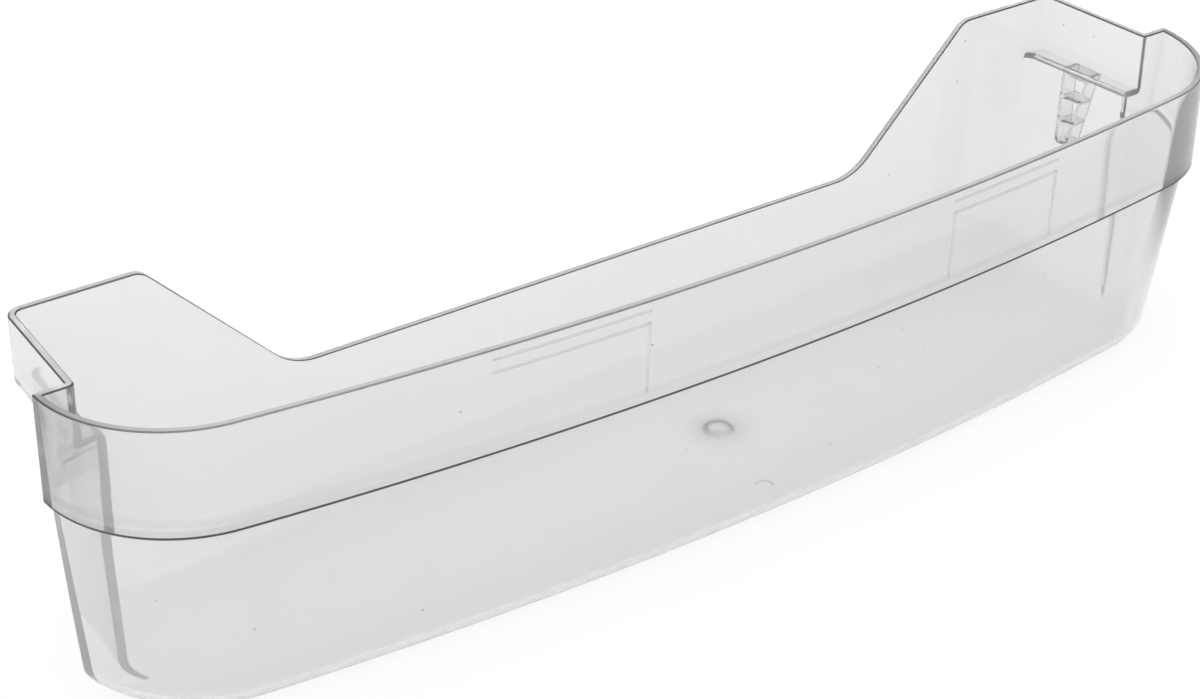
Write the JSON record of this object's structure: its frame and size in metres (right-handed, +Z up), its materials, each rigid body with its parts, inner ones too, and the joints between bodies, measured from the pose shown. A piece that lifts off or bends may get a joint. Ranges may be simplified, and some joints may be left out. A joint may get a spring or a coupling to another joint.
{
  "type": "refrigerator door shelf",
  "caption": "Clear moulded door bin with a bowed, banded front, stepped ends with ledges and ladder ribs, and a back wall that drops low in the middle.",
  "frame": {"origin": "under the middle of the bounding box, on the plane the floor rests on", "axes": "+X along the length, +Y towards the refrigerator door (the low back wall), -Y towards the room side's bowed front, +Z up"},
  "size_m": [0.5, 0.1164, 0.118],
  "materials": {
    "clear_plastic": "clear polystyrene, polished moulded surface"
  },
  "bodies": {
    "root": {"door_shelf": "clear_plastic"}
  },
  "joints": []
}
